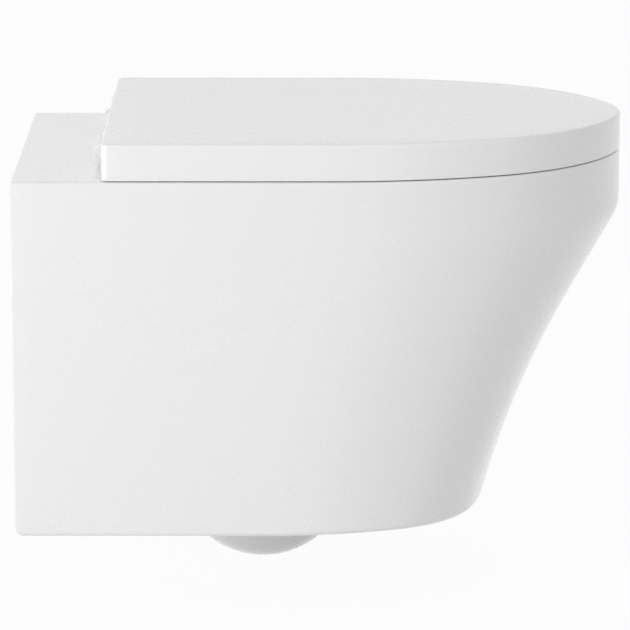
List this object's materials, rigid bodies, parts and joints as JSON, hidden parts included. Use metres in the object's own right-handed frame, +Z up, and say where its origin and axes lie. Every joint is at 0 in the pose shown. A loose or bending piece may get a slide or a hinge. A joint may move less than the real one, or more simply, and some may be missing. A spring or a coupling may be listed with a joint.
{
  "type": "wall hung toilet",
  "caption": "Wall hung toilet: skirted ceramic pan with bowl and trapway, slim wrap-over lid, seat ring and soft-close quick-release hinges",
  "frame": {"origin": "midway between the two wall-fixing holes, on the wall plane", "axes": "+X from the wall to the front of the pan, +Y to the side, +Z up; the pan is symmetric about Y = 0"},
  "size_m": [0.54, 0.36, 0.4164],
  "materials": {
    "glazed_ceramic": "white vitreous glaze, glossy",
    "seat_plastic": "white moulded thermoset, polished",
    "hinge_plastic": "white moulded plastic",
    "damper_plastic": "pale grey acetal",
    "anchor_nylon": "natural nylon",
    "steel": "turned stainless steel",
    "rubber": "pale grey soft elastomer"
  },
  "bodies": {
    "pan": {"pan_rim": "glazed_ceramic", "pan_shroud": "glazed_ceramic", "pan_back_wall": "glazed_ceramic", "pan_bowl": "glazed_ceramic", "pan_trapway": "glazed_ceramic", "pan_inlet": "glazed_ceramic", "fixing_bush_left": "hinge_plastic", "fixing_bush_right": "hinge_plastic", "hinge_gasket_left": "rubber", "hinge_base_left": "hinge_plastic", "hinge_post_left": "steel", "anchor_sleeve_left": "anchor_nylon", "anchor_nut_left": "steel", "hinge_gasket_right": "rubber", "hinge_base_right": "hinge_plastic", "hinge_post_right": "steel", "anchor_sleeve_right": "anchor_nylon", "anchor_nut_right": "steel"},
    "hinge_carrier": {"hinge_housing_left": "hinge_plastic", "damper_body_left": "damper_plastic", "hinge_stub_left": "steel", "release_springs_left": "steel", "hinge_housing_right": "hinge_plastic", "damper_body_right": "damper_plastic", "hinge_stub_right": "steel", "release_springs_right": "steel"},
    "seat": {"seat_ring": "seat_plastic", "seat_buffer_rear_left": "rubber", "seat_buffer_rear_right": "rubber", "seat_buffer_front_left": "rubber", "seat_buffer_front_right": "rubber", "damper_rotor_right": "damper_plastic"},
    "lid": {"lid": "seat_plastic", "lid_buffer_rear_left": "rubber", "lid_buffer_rear_right": "rubber", "lid_buffer_front_left": "rubber", "lid_buffer_front_right": "rubber", "damper_rotor_left": "damper_plastic", "hinge_cap_left": "hinge_plastic", "hinge_cap_right": "hinge_plastic"},
    "button_left": {"release_button_left": "hinge_plastic"},
    "button_right": {"release_button_right": "hinge_plastic"}
  },
  "joints": [
    {"name": "seat_lift_off", "type": "slide", "parent": "pan", "child": "hinge_carrier", "axis": [0, 0, 1], "range_m": [0, 0.03]},
    {"name": "seat_hinge", "type": "hinge", "parent": "hinge_carrier", "child": "seat", "pos_m": [0.077, 0, 0.0915], "axis": [0, -1, 0], "range_deg": [0, 95]},
    {"name": "lid_hinge", "type": "hinge", "parent": "seat", "child": "lid", "pos_m": [0.077, 0, 0.0915], "axis": [0, 1, 0], "range_deg": [-95, 0]},
    {"name": "release_button_left", "type": "slide", "parent": "hinge_carrier", "child": "button_left", "axis": [-1, 0, 0], "range_m": [0, 0.002], "stiffness_N_per_m": 400, "springref_m": -0.003, "deforming": ["release_springs_left"]},
    {"name": "release_button_right", "type": "slide", "parent": "hinge_carrier", "child": "button_right", "axis": [-1, 0, 0], "range_m": [0, 0.002], "stiffness_N_per_m": 400, "springref_m": -0.003, "deforming": ["release_springs_right"]}
  ]
}
